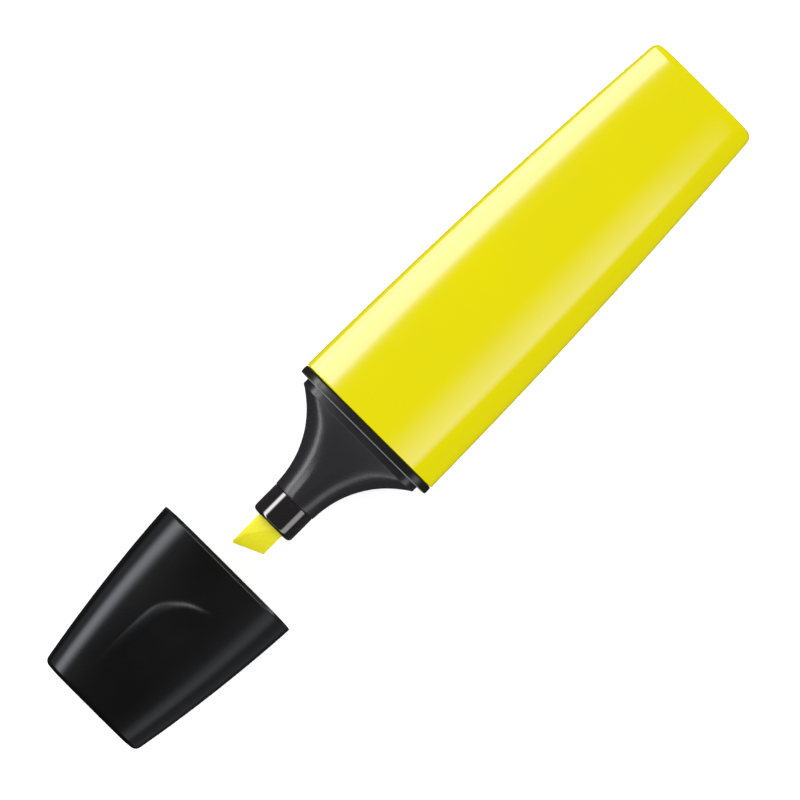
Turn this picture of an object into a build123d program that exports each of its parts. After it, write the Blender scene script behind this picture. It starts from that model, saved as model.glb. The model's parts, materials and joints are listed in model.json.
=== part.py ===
"""A flat highlighter with its cap pulled off in line.

The pen lies on one broad face. +X runs along it from the cap to the tail, +Y across it, +Z up through its
broad faces. The origin is under the middle of the whole layout, on the surface that the pen lies on.
Every station along the pen is measured from the seat, which is the flange face that the cap closes on.
"""

import os
from math import cos, radians, sin, sqrt

from build123d import *

# Overall sizes
CAPPED_LENGTH = 105.0  # tail face to cap end, with the cap home
CAP_LENGTH = 30.0
JOINT_WIDTH = 27.0  # widest section, where cap and barrel meet
JOINT_THICKNESS = 17.0
TAIL_WIDTH = 20.8
TAIL_THICKNESS = 15.5
CAP_END_WIDTH = 19.7
CAP_END_THICKNESS = 14.0
BARREL_BOW = 0.6  # how far each narrow side bulges past a straight taper
CAP_BOW = 0.45

# The rounded cross-section
JOINT_CORNER = 5.6
TAIL_CORNER = 3.7
CAP_END_CORNER = 4.1
CROWN_FLAT = 4.4  # level strip along the middle of each broad face
CROWN_ANGLE = 8.0  # degrees the face has fallen away by where the corner starts

# Barrel
BARREL_WALL = 1.5
TAIL_WALL = 1.6
TAIL_EDGE = 1.2
RIB_WIDTH = 1.0
RIB_SPACING = 9.0

# Front section
FLANGE_LENGTH = 1.45
FLANGE_EDGE = 0.15
SPIGOT_INSET = 1.6
SPIGOT_LENGTH = 1.15
SPIGOT_EDGE = 0.3
NECK_LENGTH = 15.0  # seat to the sleeve's shoulder
NECK_STEP = 0.1  # how far the neck's front stands out past the sleeve
NECK_ROOT_STEP = 0.06  # how far the neck's root stays inside the spigot
NECK_ROUNDNESS = 0.93  # corner radius as a share of the neck's half thickness
NECK_STATIONS = 6
PLUG_LENGTH = 7.0
PLUG_WALL = 1.2
PLUG_CLEARANCE = 0.05
GUIDE_LENGTH = 4.0  # nib tube behind the flange

# Sleeve and nib
SLEEVE_DIAMETER = 7.8
SLEEVE_LENGTH = 5.1
SLEEVE_EDGE = 0.7
STEM_DIAMETER = 6.8
STEM_LENGTH = 4.0
NIB_WIDTH = 4.9
NIB_THICKNESS = 4.0
NIB_CORNER = 0.6
NIB_REACH = 6.2  # long edge of the nib ahead of the sleeve
NIB_CUT_ANGLE = 24.0
NIB_BEVEL_ANGLE = 20.0
NIB_BEVEL_TURN = 55.0  # degrees that the bevel faces away from the nib's own direction
NIB_LAND = 1.5  # length of nib left full height beside its long edge
NIB_TAIL = 5.0  # length of nib inside the reservoir
FIT = 0.05  # running clearance per side of a fit

# Reservoir
RESERVOIR_CLEARANCE = 1.0  # film to barrel wall at the narrow end
RESERVOIR_CORNER = 3.0
FILM = 0.25
RIB_CLEARANCE = 0.1
STOP_LENGTH = 1.2

# Cap
CAP_FIT = 0.08  # cap mouth to spigot, per side
SEAT_GAP = 0.1
CAP_TRAVEL = 29.5
CAP_END_WALL = 1.5
CAP_END_EDGE = 0.85
SEAL_WALL = 1.2
SEAL_END = 1.0
SEAL_CLEARANCE = 0.3  # seal rim to neck, with the cap home
SEAL_LEAD = 0.4
SEAL_COLLAR_LENGTH = 3.5
SEAL_COLLAR_WALL = 1.1

# The raised grip pad on the cap, as (distance from the mouth, distance to the side)
PAD_LEDGE = [(26.8, 4.35), (15.0, 4.35), (10.5, 3.4), (7.6, 0.0), (5.9, -4.8)]
PAD_HEIGHT = 0.5  # over the cap's face, where the ledge bends
PAD_BACK = (26.8, -4.8)  # where the pad has sunk into the cap again
PAD_ROOT = 1.0  # depth of the pad's footing in the cap's wall

# Places
AXIS_HEIGHT = JOINT_THICKNESS / 2
REAR_LENGTH = CAPPED_LENGTH - CAP_LENGTH - SEAT_GAP
SEAT_X = (SEAT_GAP + CAP_TRAVEL + CAP_LENGTH - REAR_LENGTH) / 2
MOUTH_X = SEAT_X - SEAT_GAP - CAP_TRAVEL
BARREL_LENGTH = REAR_LENGTH - FLANGE_LENGTH
SLEEVE_FRONT = NECK_LENGTH + SLEEVE_LENGTH
NIB_FRONT = SLEEVE_FRONT + NIB_REACH
GUIDE_END = FLANGE_LENGTH + GUIDE_LENGTH

# Radii that grow outwards from the sleeve
NECK_RADIUS = SLEEVE_DIAMETER / 2 + NECK_STEP
SEAL_BORE_RADIUS = SLEEVE_DIAMETER / 2 + FIT
SEAL_RADIUS = SEAL_BORE_RADIUS + SEAL_WALL
COLLAR_BORE_RADIUS = SEAL_RADIUS + FIT


def across(station):
    """The plane across the pen that lies this far behind the seat. Its x is the pen's width, its y is up."""
    return Plane(origin=(SEAT_X + station, 0, AXIS_HEIGHT), x_dir=(0, 1, 0), z_dir=(1, 0, 0))


def across_cap(depth):
    """The plane across the cap that lies this far inside its mouth."""
    return across(MOUTH_X - SEAT_X - depth)


def bowed(start, end, bow, share):
    """A size that runs from start to end along the body and bulges by bow at the middle."""
    return start + (end - start) * share + 4 * bow * share * (1 - share)


def barrel_sizes(station):
    """Width, thickness and corner radius of the barrel this far behind the seat."""
    share = (station - FLANGE_LENGTH) / BARREL_LENGTH
    return (
        bowed(JOINT_WIDTH, TAIL_WIDTH, 2 * BARREL_BOW, share),
        bowed(JOINT_THICKNESS, TAIL_THICKNESS, 0, share),
        bowed(JOINT_CORNER, TAIL_CORNER, 0, share),
    )


def cap_sizes(depth):
    """Width, thickness and corner radius of the cap this far inside its mouth."""
    share = depth / CAP_LENGTH
    return (
        bowed(JOINT_WIDTH, CAP_END_WIDTH, 2 * CAP_BOW, share),
        bowed(JOINT_THICKNESS, CAP_END_THICKNESS, 0, share),
        bowed(JOINT_CORNER, CAP_END_CORNER, 0, share),
    )


def body_profile(width, thickness, corner, inset=0.0):
    """The body's cross-section: crowned broad faces, round corners and straight narrow sides."""
    half_width = width / 2 - inset
    half_thickness = thickness / 2 - inset
    radius = corner - inset
    crown_start = CROWN_FLAT / 2
    fall = sin(radians(CROWN_ANGLE))
    crown_radius = (half_width - radius * (1 - fall) - crown_start) / fall
    with BuildSketch(mode=Mode.PRIVATE) as profile:
        with BuildLine():
            crown = JernArc((crown_start, half_thickness), (1, 0), crown_radius, -CROWN_ANGLE)
            corner_arc = JernArc(crown @ 1, crown % 1, radius, CROWN_ANGLE - 90)
            side = corner_arc @ 1
            mirror(about=Plane.XZ)
            Line(side, (side.X, -side.Y))
            mirror(about=Plane.YZ)
            Line((-crown_start, half_thickness), (crown_start, half_thickness))
            Line((-crown_start, -half_thickness), (crown_start, -half_thickness))
        make_face()
    return profile.sketch


# Barrel: a tapered shell, closed at the tail, with ribs that hold the reservoir
film_width = TAIL_WIDTH - 2 * BARREL_WALL - 2 * RESERVOIR_CLEARANCE
film_thickness = TAIL_THICKNESS - 2 * BARREL_WALL - 2 * RESERVOIR_CLEARANCE
hollow_end = REAR_LENGTH - TAIL_WALL
rib_start = FLANGE_LENGTH + PLUG_LENGTH + RIB_WIDTH  # clear of the front section's plug
rib_in_y = film_width / 2 + RIB_CLEARANCE
rib_in_z = film_thickness / 2 + RIB_CLEARANCE

with BuildPart() as barrel_hollow:
    for station in (FLANGE_LENGTH, (FLANGE_LENGTH + hollow_end) / 2, hollow_end):
        with BuildSketch(across(station)):
            add(body_profile(*barrel_sizes(station), inset=BARREL_WALL))
    loft()
    with BuildSketch(across(rib_start)):
        with Locations((0, rib_in_z + JOINT_THICKNESS / 2), (0, -rib_in_z - JOINT_THICKNESS / 2)):
            with GridLocations(RIB_SPACING, 1, 2, 1):
                Rectangle(RIB_WIDTH, JOINT_THICKNESS)
        with Locations((rib_in_y + JOINT_WIDTH / 2, 0), (-rib_in_y - JOINT_WIDTH / 2, 0)):
            Rectangle(JOINT_WIDTH, RIB_WIDTH)
    extrude(amount=BARREL_LENGTH, mode=Mode.SUBTRACT)
    with BuildSketch(across(hollow_end)):
        with GridLocations(RIB_SPACING, 1, 2, 1):
            Rectangle(RIB_WIDTH, JOINT_THICKNESS)
    extrude(amount=-STOP_LENGTH, mode=Mode.SUBTRACT)

with BuildPart() as barrel:
    for station in (FLANGE_LENGTH, (FLANGE_LENGTH + REAR_LENGTH) / 2, REAR_LENGTH):
        with BuildSketch(across(station)):
            add(body_profile(*barrel_sizes(station)))
    loft()
    fillet(barrel.faces().sort_by(Axis.X)[-1].edges(), TAIL_EDGE)
    add(barrel_hollow.part, mode=Mode.SUBTRACT)
barrel.part.label = "barrel"

# Front section: flange, cap spigot, concave neck and the plug that holds it in the barrel
spigot_width = JOINT_WIDTH - 2 * SPIGOT_INSET
spigot_thickness = JOINT_THICKNESS - 2 * SPIGOT_INSET
neck_run = NECK_LENGTH - SPIGOT_LENGTH
plug_end = FLANGE_LENGTH + PLUG_LENGTH
plug_inset = BARREL_WALL + PLUG_CLEARANCE


def neck_half(root_half, share):
    """Half a neck size, on an arc that leaves the sleeve in line with it and reaches root_half at share 1."""
    rise = root_half - NECK_RADIUS
    radius = (neck_run**2 + rise**2) / (2 * rise)
    return NECK_RADIUS + radius - sqrt(radius**2 - (share * neck_run) ** 2)


with BuildPart() as front_section:
    with BuildSketch(across(0)):
        add(body_profile(JOINT_WIDTH, JOINT_THICKNESS, JOINT_CORNER))
    extrude(amount=FLANGE_LENGTH)
    fillet(front_section.faces().sort_by(Axis.X)[0].edges(), FLANGE_EDGE)
    with BuildSketch(across(0)):
        add(body_profile(JOINT_WIDTH, JOINT_THICKNESS, JOINT_CORNER, inset=SPIGOT_INSET))
    extrude(amount=-SPIGOT_LENGTH)
    fillet(front_section.faces().sort_by(Axis.X)[0].edges(), SPIGOT_EDGE)
    for step in range(NECK_STATIONS + 1):
        share = 1 - step / NECK_STATIONS
        half_width = neck_half(spigot_width / 2 - SPIGOT_EDGE - NECK_ROOT_STEP, share)
        half_thickness = neck_half(spigot_thickness / 2 - SPIGOT_EDGE - NECK_ROOT_STEP, share)
        with BuildSketch(across(neck_run * share - NECK_LENGTH + (SPIGOT_EDGE if step == 0 else 0))):
            RectangleRounded(2 * half_width, 2 * half_thickness, NECK_ROUNDNESS * half_thickness)
    loft()
    for station in (FLANGE_LENGTH, plug_end):
        with BuildSketch(across(station)):
            add(body_profile(*barrel_sizes(station), inset=plug_inset))
    loft(ruled=True)
    with BuildSketch(across(plug_end)):
        add(body_profile(*barrel_sizes(plug_end), inset=plug_inset + PLUG_WALL))
    extrude(amount=-PLUG_LENGTH, mode=Mode.SUBTRACT)
    with BuildSketch(across(FLANGE_LENGTH)):
        Circle(NECK_RADIUS)
    extrude(amount=GUIDE_LENGTH)
    with BuildSketch(across(-NECK_LENGTH)):
        Circle(STEM_DIAMETER / 2 + FIT)
    extrude(amount=STEM_LENGTH + FIT, mode=Mode.SUBTRACT)
    with BuildSketch(across(-NECK_LENGTH)):
        RectangleRounded(NIB_WIDTH + 2 * FIT, NIB_THICKNESS + 2 * FIT, NIB_CORNER + FIT)
    extrude(amount=NECK_LENGTH + GUIDE_END, mode=Mode.SUBTRACT)
front_section.part.label = "front_section"

# Nib sleeve: glossy collar with a stem that plugs into the neck
with BuildPart() as nib_sleeve:
    with BuildSketch(across(-NECK_LENGTH)):
        Circle(SLEEVE_DIAMETER / 2)
    extrude(amount=-SLEEVE_LENGTH)
    fillet(nib_sleeve.faces().sort_by(Axis.X)[0].edges(), SLEEVE_EDGE)
    with BuildSketch(across(-NECK_LENGTH)):
        Circle(STEM_DIAMETER / 2)
    extrude(amount=STEM_LENGTH)
    with BuildSketch(across(-SLEEVE_FRONT)):
        RectangleRounded(NIB_WIDTH + 2 * FIT, NIB_THICKNESS + 2 * FIT, NIB_CORNER + FIT)
    extrude(amount=SLEEVE_LENGTH + STEM_LENGTH, mode=Mode.SUBTRACT)
nib_sleeve.part.label = "nib_sleeve"

# Nib: a fibre stick cut on the slant and bevelled on both faces
long_edge = Vector(SEAT_X - NIB_FRONT, NIB_WIDTH / 2, AXIS_HEIGHT)
cut_normal = (-cos(radians(NIB_CUT_ANGLE)), -sin(radians(NIB_CUT_ANGLE)), 0)
bevel_slope = sin(radians(NIB_BEVEL_ANGLE))

with BuildPart() as nib:
    with BuildSketch(across(-NIB_FRONT)):
        RectangleRounded(NIB_WIDTH, NIB_THICKNESS, NIB_CORNER)
    extrude(amount=NIB_FRONT + GUIDE_END + NIB_TAIL)
    split(bisect_by=Plane(origin=long_edge, z_dir=cut_normal), keep=Keep.BOTTOM)
    for face in (1, -1):
        bevel_start = long_edge + Vector(NIB_LAND, 0, face * NIB_THICKNESS / 2)
        bevel_normal = (
            -bevel_slope * cos(radians(NIB_BEVEL_TURN)),
            -bevel_slope * sin(radians(NIB_BEVEL_TURN)),
            face * cos(radians(NIB_BEVEL_ANGLE)),
        )
        split(bisect_by=Plane(origin=bevel_start, z_dir=bevel_normal), keep=Keep.BOTTOM)
nib.part.label = "nib"

# Reservoir: a fibre core in a film, between the nib tube and the stops on the tail wall
reservoir_end = hollow_end - STOP_LENGTH

with BuildPart() as reservoir_core:
    with BuildSketch(across(GUIDE_END)):
        RectangleRounded(film_width - 2 * FILM, film_thickness - 2 * FILM, RESERVOIR_CORNER)
    extrude(amount=reservoir_end - GUIDE_END)
    with BuildSketch(across(GUIDE_END)):
        RectangleRounded(NIB_WIDTH + 2 * FIT, NIB_THICKNESS + 2 * FIT, NIB_CORNER + FIT)
    extrude(amount=NIB_TAIL + FIT, mode=Mode.SUBTRACT)
reservoir_core.part.label = "reservoir_core"

with BuildPart() as reservoir_wrap:
    with BuildSketch(across(GUIDE_END)):
        RectangleRounded(film_width, film_thickness, RESERVOIR_CORNER + FILM)
        RectangleRounded(film_width - 2 * FILM, film_thickness - 2 * FILM, RESERVOIR_CORNER, mode=Mode.SUBTRACT)
    extrude(amount=reservoir_end - GUIDE_END)
reservoir_wrap.part.label = "reservoir_wrap"

# Cap: a tapered shell with a grip pad on each broad face and a collar for the seal
cap_wall = SPIGOT_INSET - CAP_FIT
cap_hollow_depth = CAP_LENGTH - CAP_END_WALL
seal_rim_depth = NECK_LENGTH + SEAL_CLEARANCE


def cap_top(depth):
    """Height of the cap's level strip this far inside the mouth."""
    return AXIS_HEIGHT + cap_sizes(depth)[1] / 2


pad_peak = PAD_LEDGE[2]
pad_ends = [Vector(MOUTH_X - depth, side, cap_top(depth)) for depth, side in (PAD_LEDGE[0], PAD_LEDGE[-1])]
pad_high = Vector(MOUTH_X - pad_peak[0], pad_peak[1], cap_top(pad_peak[0]) + PAD_HEIGHT)
pad_top = Plane(
    origin=pad_high,
    z_dir=(pad_ends[0] - pad_high).cross(pad_ends[1] - pad_high),
)

with BuildPart() as grip_pad:
    with BuildSketch(Plane.XY.offset(cap_top(CAP_LENGTH) - PAD_ROOT)):
        with BuildLine():
            ledge = Spline(*[(MOUTH_X - depth, side) for depth, side in PAD_LEDGE])
            Polyline(ledge @ 1, (MOUTH_X - PAD_BACK[0], PAD_BACK[1]), ledge @ 0)
        make_face()
    extrude(amount=JOINT_THICKNESS)
    split(bisect_by=pad_top, keep=Keep.BOTTOM)

with BuildPart() as cap_shell:
    for depth in (0, CAP_LENGTH / 2, CAP_LENGTH):
        with BuildSketch(across_cap(depth)):
            add(body_profile(*cap_sizes(depth)))
    loft()
    fillet(cap_shell.faces().sort_by(Axis.X)[0].edges(), CAP_END_EDGE)
    add(grip_pad.part)
    add(grip_pad.part.rotate(Axis((0, 0, AXIS_HEIGHT), (1, 0, 0)), 180))
    with BuildPart(mode=Mode.PRIVATE) as cap_hollow:
        for depth in (0, cap_hollow_depth / 2, cap_hollow_depth):
            with BuildSketch(across_cap(depth)):
                add(body_profile(*cap_sizes(depth), inset=cap_wall))
        loft()
    add(cap_hollow.part, mode=Mode.SUBTRACT)
    with BuildSketch(across_cap(cap_hollow_depth)):
        Circle(COLLAR_BORE_RADIUS + SEAL_COLLAR_WALL)
    extrude(amount=SEAL_COLLAR_LENGTH)
    with BuildSketch(across_cap(cap_hollow_depth)):
        Circle(COLLAR_BORE_RADIUS)
    extrude(amount=cap_hollow_depth - seal_rim_depth, mode=Mode.SUBTRACT)
cap_shell.part.label = "cap_shell"

# Cap seal: a cup that closes round the sleeve
with BuildPart() as cap_seal:
    with BuildSketch(across_cap(seal_rim_depth)):
        Circle(SEAL_RADIUS)
    extrude(amount=seal_rim_depth - cap_hollow_depth)
    with BuildSketch(across_cap(seal_rim_depth)):
        Circle(SEAL_BORE_RADIUS)
    extrude(amount=seal_rim_depth - cap_hollow_depth + SEAL_END, mode=Mode.SUBTRACT)
    rim = cap_seal.faces().sort_by(Axis.X)[-1].edges().sort_by(Edge.length)[0]
    chamfer(rim, SEAL_LEAD)
cap_seal.part.label = "cap_seal"

os.makedirs("parts", exist_ok=True)
for piece in (
    barrel,
    front_section,
    nib_sleeve,
    nib,
    reservoir_core,
    reservoir_wrap,
    cap_shell,
    cap_seal,
):
    export_step(piece.part, f"parts/{piece.part.label}.step")
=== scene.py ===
import json
from math import cos, pi, radians, sin, sqrt, tan

import bpy
import numpy as np
from bpy.props import FloatProperty, FloatVectorProperty, PointerProperty
from bpy.types import Operator, Panel, PropertyGroup
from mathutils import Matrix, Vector

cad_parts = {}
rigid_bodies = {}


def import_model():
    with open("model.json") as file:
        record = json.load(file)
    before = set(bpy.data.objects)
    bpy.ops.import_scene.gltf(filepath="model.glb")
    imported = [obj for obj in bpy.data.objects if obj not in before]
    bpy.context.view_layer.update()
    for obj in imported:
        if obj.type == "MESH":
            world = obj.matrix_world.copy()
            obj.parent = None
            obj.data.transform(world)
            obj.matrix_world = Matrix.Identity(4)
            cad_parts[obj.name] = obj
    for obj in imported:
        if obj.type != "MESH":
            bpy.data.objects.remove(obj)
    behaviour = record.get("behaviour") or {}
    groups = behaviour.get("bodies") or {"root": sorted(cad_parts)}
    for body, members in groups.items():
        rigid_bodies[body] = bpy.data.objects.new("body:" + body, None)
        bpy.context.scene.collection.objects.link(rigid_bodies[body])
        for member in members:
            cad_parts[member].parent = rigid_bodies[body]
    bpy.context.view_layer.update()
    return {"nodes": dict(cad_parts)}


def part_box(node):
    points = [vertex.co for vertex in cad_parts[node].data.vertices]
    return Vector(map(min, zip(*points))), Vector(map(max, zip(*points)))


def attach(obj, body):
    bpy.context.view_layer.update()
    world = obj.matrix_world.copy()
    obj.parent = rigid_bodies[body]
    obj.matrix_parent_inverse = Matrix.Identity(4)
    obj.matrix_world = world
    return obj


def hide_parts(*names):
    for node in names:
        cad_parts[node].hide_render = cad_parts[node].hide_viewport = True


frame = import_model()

bl_info = {
    "name": "Highlighter",
    "version": (1, 0, 0),
    "blender": (4, 5, 0),
    "location": "View3D > Sidebar > Highlighter",
    "description": "Builds a flat highlighter with its cap pulled off, and the stage that it lies on",
    "category": "Add Mesh",
}

MM = 0.001
GROW = 1000  # sections are drawn this many times life size, where the joining tools find their way better
NEAR = 1e-3  # closer than this while drawn large, two points are one
RING_GAP = 0.02 * MM  # rings given the same place stand this far apart, so that their order is clear
SMOOTH_LEVELS = 2

# Points along a crown and round a corner of each kind of section
BODY_STEPS = (5, 8)
CAP_STEPS = (8, 8)
ROUND_STEPS = (3, 12)
NIB_STEPS = (3, 6)

# A ring that holds a rounded edge in shape stands this many roundings away from it
SMALL_EDGE_HOLD = 3
MOUTH_WALL_HOLD = 2
TAIL_HOLD = 2.2
TAIL_FACE_HOLD = 1.6
CAP_END_HOLD = 2
CAP_FACE_HOLD = 1.8
SLEEVE_HOLD = 1.4

# Shares of a section
ROUND_FLATNESS = 40  # a round section's radius, in half lengths of its level strip
NIB_FLAT = 0.6  # half of the nib's level strip, as a share of its half width
NIB_CROWN = 0.25  # the crown of the nib's faces, as a share of the body's
NECK_FLAT = 0.4  # the same for the neck, as a share of what its corners leave
NECK_START = 0.06  # where the neck's curve begins, as a share of its length
NECK_ROUNDNESS = 0.93  # the neck's corner beside the nib, as a share of its half thickness
COLLAR_ROUNDNESS = 0.9  # the same for the collar inside the cap

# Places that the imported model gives. +X runs from cap to tail, +Y across, +Z up through the broad faces.
BARREL_LOW, BARREL_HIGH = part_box("barrel")
SLEEVE_LOW, SLEEVE_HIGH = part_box("nib_sleeve")
NIB_LOW, NIB_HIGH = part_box("nib")
CAP_LOW, CAP_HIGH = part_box("cap_shell")
SEAL_LOW, SEAL_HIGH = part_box("cap_seal")
AXIS_HEIGHT = (BARREL_LOW.z + BARREL_HIGH.z) / 2
BARREL_FRONT = BARREL_LOW.x
TAIL_X = BARREL_HIGH.x
MOUTH_X = CAP_HIGH.x
CAP_END_X = CAP_LOW.x
PLUG_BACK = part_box("front_section")[1].x
JOINT_WIDTH = BARREL_HIGH.y - BARREL_LOW.y
JOINT_THICKNESS = BARREL_HIGH.z - BARREL_LOW.z


def length(name, description, default):
    """A size of the object, as a property in metres."""
    return FloatProperty(name=name, description=description, default=default, unit="LENGTH", precision=5)


def angle(name, description, degrees):
    """An angle of the object, as a property."""
    return FloatProperty(name=name, description=description, default=radians(degrees), unit="ROTATION",
                         subtype="ANGLE")


def colour(name, description, default):
    """A colour, as a property."""
    return FloatVectorProperty(name=name, description=description, default=default, size=3, min=0, max=1,
                               subtype="COLOR")


class HighlighterSizes(PropertyGroup):
    """The sizes that the pieces share."""

    tail_width: length("Tail width", "Width of the barrel at its tail", 20.8 * MM)
    tail_thickness: length("Tail thickness", "Thickness of the barrel at its tail", 15.5 * MM)
    cap_end_width: length("Cap end width", "Width of the cap at its closed end", 19.7 * MM)
    cap_end_thickness: length("Cap end thickness", "Thickness of the cap at its closed end", 14 * MM)
    barrel_bow: length("Barrel bow", "How far each narrow side of the barrel bulges", 0.6 * MM)
    cap_bow: length("Cap bow", "How far each narrow side of the cap bulges", 0.45 * MM)
    joint_corner: length("Joint corner", "Corner radius where cap and barrel meet", 5.6 * MM)
    tail_corner: length("Tail corner", "Corner radius at the tail", 3.7 * MM)
    cap_end_corner: length("Cap end corner", "Corner radius at the cap's closed end", 4.1 * MM)
    crown_flat: length("Crown flat", "Half of the level strip along each broad face", 2.2 * MM)
    crown_angle: angle("Crown angle", "How far a broad face falls away to its corner", 8)
    wall: length("Wall", "Wall of the barrel", 1.5 * MM)
    tail_wall: length("Tail wall", "Wall that closes the barrel's tail", 1.6 * MM)
    barrel_rim: length("Barrel rim", "Rounding at the barrel's open end", 0.12 * MM)
    tail_edge: length("Tail edge", "Rounding of the barrel's tail edge", 1.2 * MM)
    cap_end_edge: length("Cap end edge", "Rounding of the cap's closed end", 0.85 * MM)
    cap_end_wall: length("Cap end wall", "Wall that closes the cap", 1.5 * MM)
    cap_mouth_edge: length("Cap mouth edge", "Rounding at the cap's mouth", 0.06 * MM)
    cap_fit: length("Cap fit", "Clearance between the cap's mouth and the spigot", 0.08 * MM)
    collar_length: length("Collar length", "Length of the collar that holds the seal in the cap", 3.5 * MM)
    collar_wall: length("Collar wall", "Wall of the collar that holds the seal", 1.1 * MM)
    spigot_inset: length("Spigot inset", "Step from the flange in to the cap spigot", 1.6 * MM)
    spigot_edge: length("Spigot edge", "Rounding at the spigot's front", 0.3 * MM)
    spigot_length: length("Spigot length", "How far the cap spigot stands ahead of the flange", 1.15 * MM)
    flange_length: length("Flange length", "Length of the dark band between neck and barrel", 1.45 * MM)
    flange_edge: length("Flange edge", "Rounding of the flange", 0.15 * MM)
    # The light line where neck and flange meet is a painted highlight: a grey band that stands in for light
    # caught by the flange's front edge
    painted_rim_highlight: length("Rim line", "Width of the light line where neck and flange meet", 0.19 * MM)
    neck_root_step: length("Neck root step", "How far the neck's root stays inside the spigot", 0.06 * MM)
    neck_radius: length("Neck radius", "Radius of the neck where the sleeve begins", 4 * MM)
    guide_back: length("Guide length", "Nib tube behind the flange", 4 * MM)
    plug_clearance: length("Plug clearance", "Gap between the plug and the barrel's wall", 0.05 * MM)
    plug_wall: length("Plug wall", "Wall of the plug inside the barrel", 1.2 * MM)
    fit: length("Fit", "Clearance beside the nib, the stem and the seal", 0.05 * MM)
    sleeve_edge: length("Sleeve edge", "Rounding at the sleeve's front", 0.7 * MM)
    shoulder_edge: length("Shoulder edge", "Rounding where the sleeve meets the neck", 0.08 * MM)
    stem_radius: length("Stem radius", "Radius of the sleeve's stem inside the neck", 3.4 * MM)
    stem_length: length("Stem length", "Length of the sleeve's stem inside the neck", 4 * MM)
    nib_corner: length("Nib corner", "Corner radius of the nib's section", 0.6 * MM)
    nib_cut: angle("Nib cut", "Slant of the nib's writing edge", 24)
    nib_bevel: angle("Nib bevel", "Slope of the nib's two bevelled faces", 20)
    nib_bevel_turn: angle("Nib bevel turn", "How far the bevels face away from the nib's own direction", 55)
    nib_land: length("Nib land", "Length left full height beside the nib's long edge", 1.5 * MM)
    nib_point: length("Nib point", "How much is cut off the nib's sharp point", 0.3 * MM)
    nib_edge: length("Nib edge", "Rounding of the nib's edges", 0.2 * MM)
    pad_height: length("Pad height", "Height of the grip pad where its ledge bends", 0.4 * MM)
    pad_edge: length("Pad edge", "Width over which the pad's ledge rolls over", 0.8 * MM)


class HighlighterColours(PropertyGroup):
    """The colours of the pieces and of the stage."""

    barrel: colour("Barrel", "Fluorescent yellow of the barrel", (0.62, 0.555, 0.0))
    cap: colour("Cap", "Black of the cap", (0.0012, 0.0012, 0.0014))
    # The neck's grey and the flange's darker black are one plastic in two tones. The difference is painted:
    # the neck is lighter and the flange is in painted shade, standing in for the satin neck catching more
    # light than the polished flange
    neck: colour("Neck", "Grey black of the neck's fine texture", (0.0155, 0.0147, 0.0178))
    flange: colour("Flange", "Black of the polished band between neck and barrel", (0.0075, 0.0075, 0.0070))
    # Painted highlight: the grey of the band that stands in for light caught by the flange's front edge
    painted_rim_highlight: colour("Rim line", "Grey of the line where neck and flange meet", (0.14, 0.14, 0.145))
    sleeve: colour("Sleeve", "Black of the nib sleeve", (0.011, 0.009, 0.010))
    nib: colour("Nib", "Yellow of the inked nib", (0.92, 0.84, 0.0))
    soaked_nib: colour("Soaked nib", "Deeper yellow of the nib beside its sleeve", (0.92, 0.79, 0.0))
    floor: colour("Floor", "Pale floor", (0.9, 0.9, 0.9))


# ---------------------------------------------------------------- modelling helpers


def start_piece(name):
    """A new mesh object at the origin, empty and in edit mode, with nothing else selected."""
    bpy.ops.object.select_all(action="DESELECT")
    bpy.ops.mesh.primitive_plane_add(size=MM, location=(0, 0, 0))
    piece = bpy.context.object
    piece.name = name
    piece.data.name = name
    bpy.ops.object.mode_set(mode="EDIT")
    bpy.ops.mesh.delete(type="VERT")
    return piece


def draw_outline(piece, ring, x, half_width, half_thickness, corner, flat, crown_angle, steps):
    """Draws one closed section across the pen in its own vertex group: a quarter, mirrored twice."""
    crown_steps, corner_steps = steps
    axis_height = GROW * AXIS_HEIGHT
    x, half_width, half_thickness = GROW * x, GROW * half_width, GROW * half_thickness
    corner, flat = GROW * corner, GROW * flat
    crown_radius = (half_width - corner * (1 - sin(crown_angle)) - flat) / sin(crown_angle)
    crown_centre = Vector((x, flat, axis_height + half_thickness - crown_radius))
    corner_centre = crown_centre + (crown_radius - corner) * Vector((0, sin(crown_angle), cos(crown_angle)))
    group = piece.vertex_groups.new(name=ring)
    piece.vertex_groups.active_index = group.index
    bpy.ops.mesh.select_all(action="DESELECT")
    bpy.ops.mesh.primitive_plane_add(size=1, location=(x, 0, axis_height + half_thickness))
    bpy.ops.mesh.merge(type="CENTER")
    bpy.ops.mesh.extrude_region_move(TRANSFORM_OT_translate={"value": (0, flat, 0)})
    bpy.ops.mesh.spin(steps=crown_steps, angle=crown_angle, center=crown_centre, axis=(1, 0, 0))
    bpy.ops.mesh.spin(steps=corner_steps, angle=pi / 2 - crown_angle, center=corner_centre, axis=(1, 0, 0))
    bpy.ops.mesh.extrude_region_move(
        TRANSFORM_OT_translate={"value": (0, 0, axis_height - corner_centre.z)})
    bpy.ops.mesh.select_linked()
    bpy.ops.object.vertex_group_assign()
    for flip in ((1, -1, 1), (1, 1, -1)):
        bpy.ops.mesh.duplicate()
        bpy.ops.transform.resize(value=flip, center_override=(x, 0, axis_height))
        bpy.ops.object.vertex_group_select()
    bpy.ops.mesh.remove_doubles(threshold=NEAR)


def select_rings(piece, *indices):
    """Selects only the rings drawn at these places in the list."""
    bpy.ops.mesh.select_all(action="DESELECT")
    for index in indices:
        piece.vertex_groups.active_index = index
        bpy.ops.object.vertex_group_select()


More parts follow.
